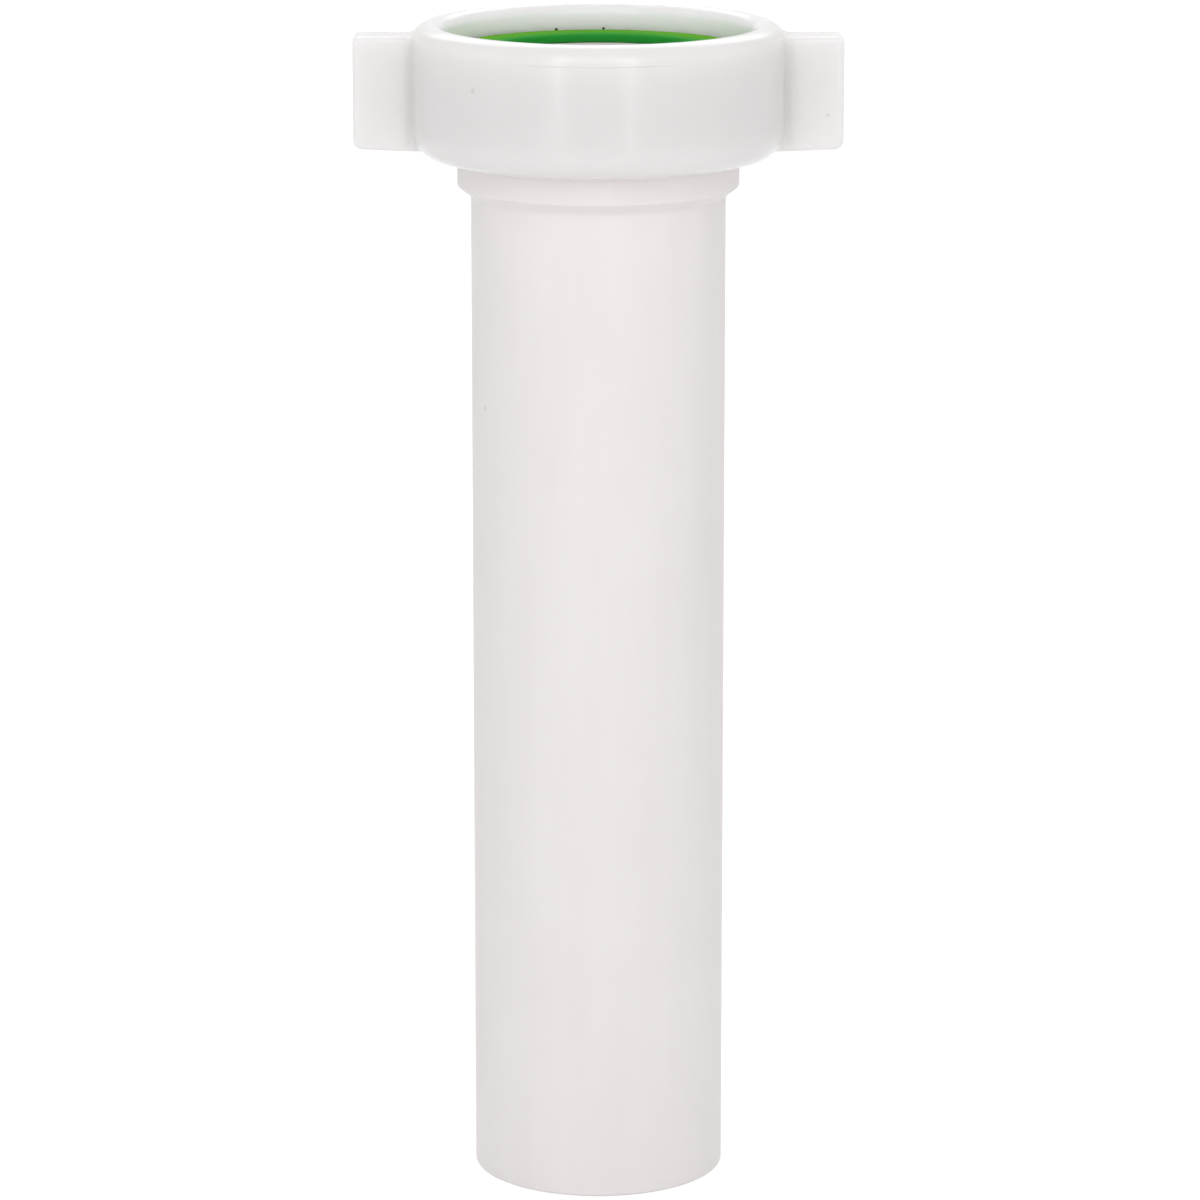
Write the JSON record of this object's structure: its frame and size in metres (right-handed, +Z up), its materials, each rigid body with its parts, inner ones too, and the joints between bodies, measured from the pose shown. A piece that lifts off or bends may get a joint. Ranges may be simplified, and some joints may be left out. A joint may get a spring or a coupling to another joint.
{
  "type": "basin waste tail pipe",
  "caption": "White plastic basin waste tail pipe: a plain-ended tube with a collar and a flange, a captive winged union nut that turns on it, and a flat green seal.",
  "frame": {"origin": "centre of the tube's plain end, on the surface that the part stands on", "axes": "+Z up the tube's axis towards the nut, +X along the nut's wings"},
  "size_m": [0.0612, 0.047, 0.1487],
  "materials": {
    "pipe_plastic": "moulded, fine matte, warm white",
    "nut_plastic": "moulded, semi-gloss white",
    "seal_rubber": "smooth, satin, bright green"
  },
  "bodies": {
    "pipe": {"tail_pipe": "pipe_plastic", "seal_ring": "seal_rubber"},
    "nut": {"wing_nut": "nut_plastic"}
  },
  "joints": [
    {"name": "nut_spin", "type": "hinge", "parent": "pipe", "child": "nut", "pos_m": [0, 0, 0.132], "axis": [0, 0, 1], "continuous": true}
  ]
}
